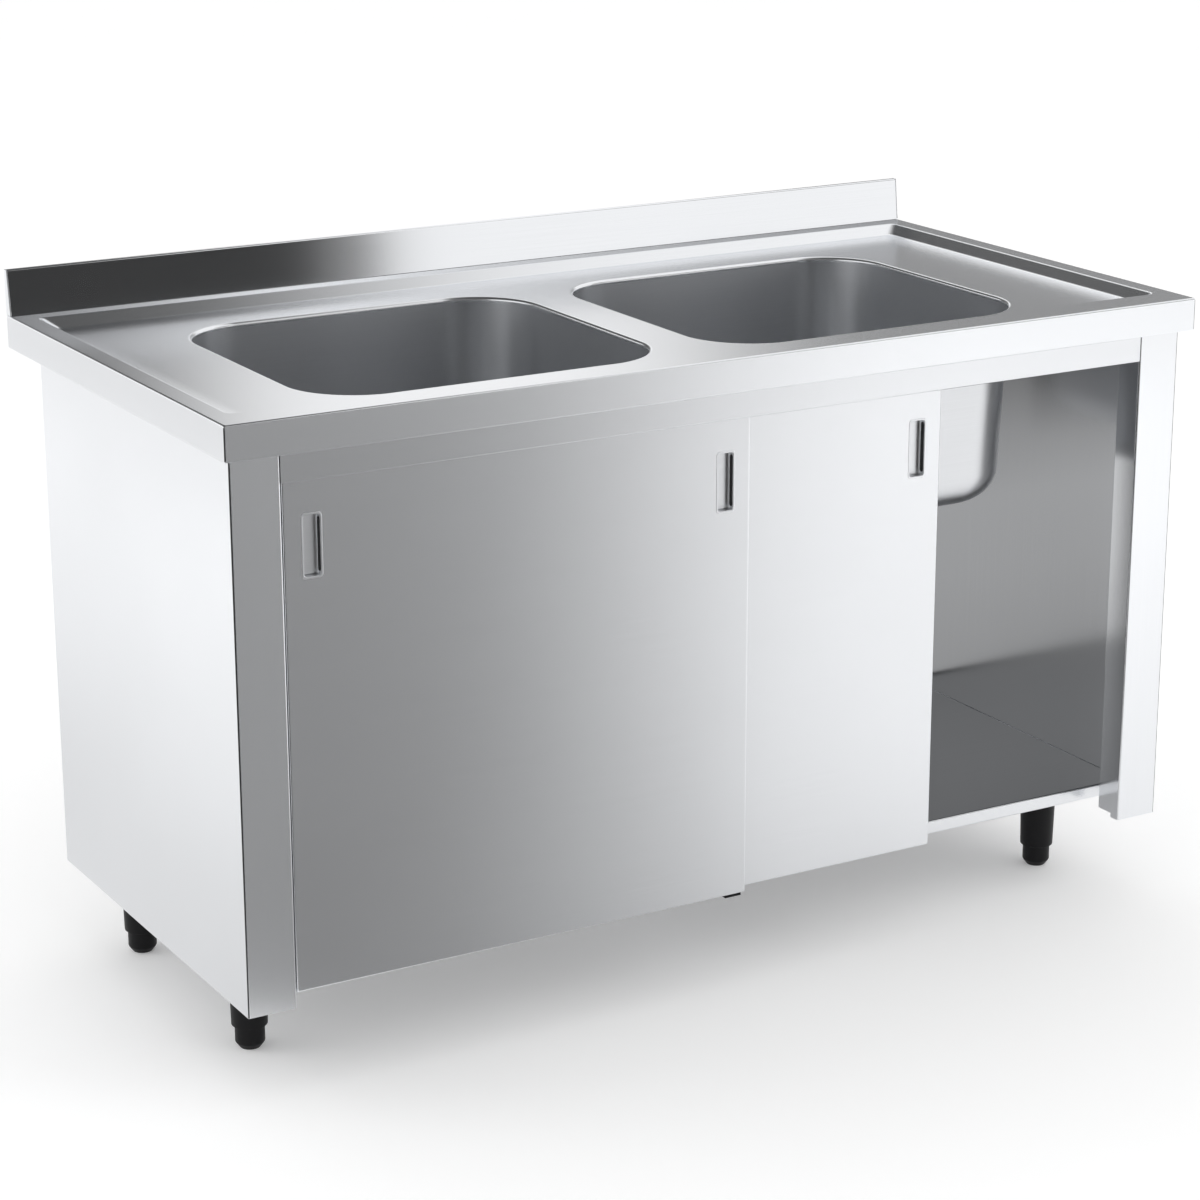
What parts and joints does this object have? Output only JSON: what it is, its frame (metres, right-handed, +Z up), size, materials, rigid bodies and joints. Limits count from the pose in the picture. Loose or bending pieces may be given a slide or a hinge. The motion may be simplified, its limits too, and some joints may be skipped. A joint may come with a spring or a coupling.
{
  "type": "kitchen sink unit",
  "caption": "Stainless steel kitchen sink unit with two bowls side by side, a low splashback, sliding doors, a shelf floor and adjustable feet.",
  "frame": {"origin": "on the floor, under the middle of the worktop's width and depth", "axes": "+X to the right when facing the doors, +Y towards the wall and the splashback, +Z up"},
  "size_m": [1.4, 0.7, 0.91],
  "materials": {
    "satin_steel": "satin brushed stainless steel sheet",
    "inner_steel": "stainless steel sheet, mill finish, for the back panel, door liners, rear rail and track",
    "zinc_steel": "dull zinc-plated steel",
    "polished_steel": "polished steel waste strainer",
    "black_plastic": "black moulded plastic",
    "white_nylon": "white nylon wheels",
    "black_rubber": "black rubber washer"
  },
  "bodies": {
    "cabinet": {"worktop": "satin_steel", "splashback": "satin_steel", "splashback_end_left": "satin_steel", "splashback_end_right": "satin_steel", "bowl_left": "satin_steel", "bowl_right": "satin_steel", "side_panel_left": "satin_steel", "side_panel_right": "satin_steel", "shelf": "satin_steel", "front_rail": "satin_steel", "back_panel": "inner_steel", "rear_rail": "inner_steel", "door_track": "inner_steel", "door_guide": "black_plastic", "top_bearer_left": "zinc_steel", "top_bearer_middle": "zinc_steel", "top_bearer_right": "zinc_steel", "shelf_stiffener_left": "zinc_steel", "shelf_stiffener_middle": "zinc_steel", "shelf_stiffener_right": "zinc_steel", "waste_strainer_left": "polished_steel", "waste_gasket_left": "black_rubber", "waste_tail_left": "black_plastic", "waste_strainer_right": "polished_steel", "waste_gasket_right": "black_rubber", "waste_tail_right": "black_plastic", "foot_front_left_plate": "zinc_steel", "foot_front_left_socket": "black_plastic", "foot_front_right_plate": "zinc_steel", "foot_front_right_socket": "black_plastic", "foot_rear_left_plate": "zinc_steel", "foot_rear_left_socket": "black_plastic", "foot_rear_right_plate": "zinc_steel", "foot_rear_right_socket": "black_plastic"},
    "door_front": {"door_front_pan": "satin_steel", "door_front_pull_left": "satin_steel", "door_front_pull_right": "satin_steel", "door_front_liner": "inner_steel", "door_front_hanger_left": "zinc_steel", "door_front_axle_left": "zinc_steel", "door_front_hanger_right": "zinc_steel", "door_front_axle_right": "zinc_steel"},
    "door_rear": {"door_rear_pan": "satin_steel", "door_rear_pull_left": "satin_steel", "door_rear_pull_right": "satin_steel", "door_rear_liner": "inner_steel", "door_rear_hanger_left": "zinc_steel", "door_rear_axle_left": "zinc_steel", "door_rear_hanger_right": "zinc_steel", "door_rear_axle_right": "zinc_steel"},
    "foot_front_left_screw": {"foot_front_left_tip": "black_plastic"},
    "foot_front_right_screw": {"foot_front_right_tip": "black_plastic"},
    "foot_rear_left_screw": {"foot_rear_left_tip": "black_plastic"},
    "foot_rear_right_screw": {"foot_rear_right_tip": "black_plastic"},
    "door_front_wheel_left": {"door_front_wheel_left": "white_nylon"},
    "door_front_wheel_right": {"door_front_wheel_right": "white_nylon"},
    "door_rear_wheel_left": {"door_rear_wheel_left": "white_nylon"},
    "door_rear_wheel_right": {"door_rear_wheel_right": "white_nylon"}
  },
  "joints": [
    {"name": "door_front_slide", "type": "slide", "parent": "cabinet", "child": "door_front", "axis": [1, 0, 0], "range_m": [0, 0.607]},
    {"name": "door_rear_slide", "type": "slide", "parent": "cabinet", "child": "door_rear", "axis": [1, 0, 0], "range_m": [-0.303, 0.304]},
    {"name": "door_front_wheel_left_spin", "type": "hinge", "parent": "door_front", "child": "door_front_wheel_left", "pos_m": [-0.547, -0.3227, 0.8], "axis": [0, 1, 0], "range_deg": [-10, 4530]},
    {"name": "door_front_wheel_right_spin", "type": "hinge", "parent": "door_front", "child": "door_front_wheel_right", "pos_m": [-0.06, -0.3227, 0.8], "axis": [0, 1, 0], "range_deg": [-10, 4530]},
    {"name": "door_rear_wheel_left_spin", "type": "hinge", "parent": "door_rear", "child": "door_rear_wheel_left", "pos_m": [-0.244, -0.3047, 0.8], "axis": [0, 1, 0], "range_deg": [-2265, 2272]},
    {"name": "door_rear_wheel_right_spin", "type": "hinge", "parent": "door_rear", "child": "door_rear_wheel_right", "pos_m": [0.243, -0.3047, 0.8], "axis": [0, 1, 0], "range_deg": [-2265, 2272]},
    {"name": "foot_front_left_level", "type": "slide", "parent": "cabinet", "child": "foot_front_left_screw", "axis": [0, 0, -1], "range_m": [0, 0.05]},
    {"name": "foot_front_right_level", "type": "slide", "parent": "cabinet", "child": "foot_front_right_screw", "axis": [0, 0, -1], "range_m": [0, 0.05]},
    {"name": "foot_rear_left_level", "type": "slide", "parent": "cabinet", "child": "foot_rear_left_screw", "axis": [0, 0, -1], "range_m": [0, 0.05]},
    {"name": "foot_rear_right_level", "type": "slide", "parent": "cabinet", "child": "foot_rear_right_screw", "axis": [0, 0, -1], "range_m": [0, 0.05]}
  ],
  "couplings": [
    {"joint": "door_front_wheel_left_spin", "follows": "door_front_slide", "rad_per_m": 129.87},
    {"joint": "door_front_wheel_right_spin", "follows": "door_front_slide", "rad_per_m": 129.87},
    {"joint": "door_rear_wheel_left_spin", "follows": "door_rear_slide", "rad_per_m": 129.87},
    {"joint": "door_rear_wheel_right_spin", "follows": "door_rear_slide", "rad_per_m": 129.87}
  ]
}
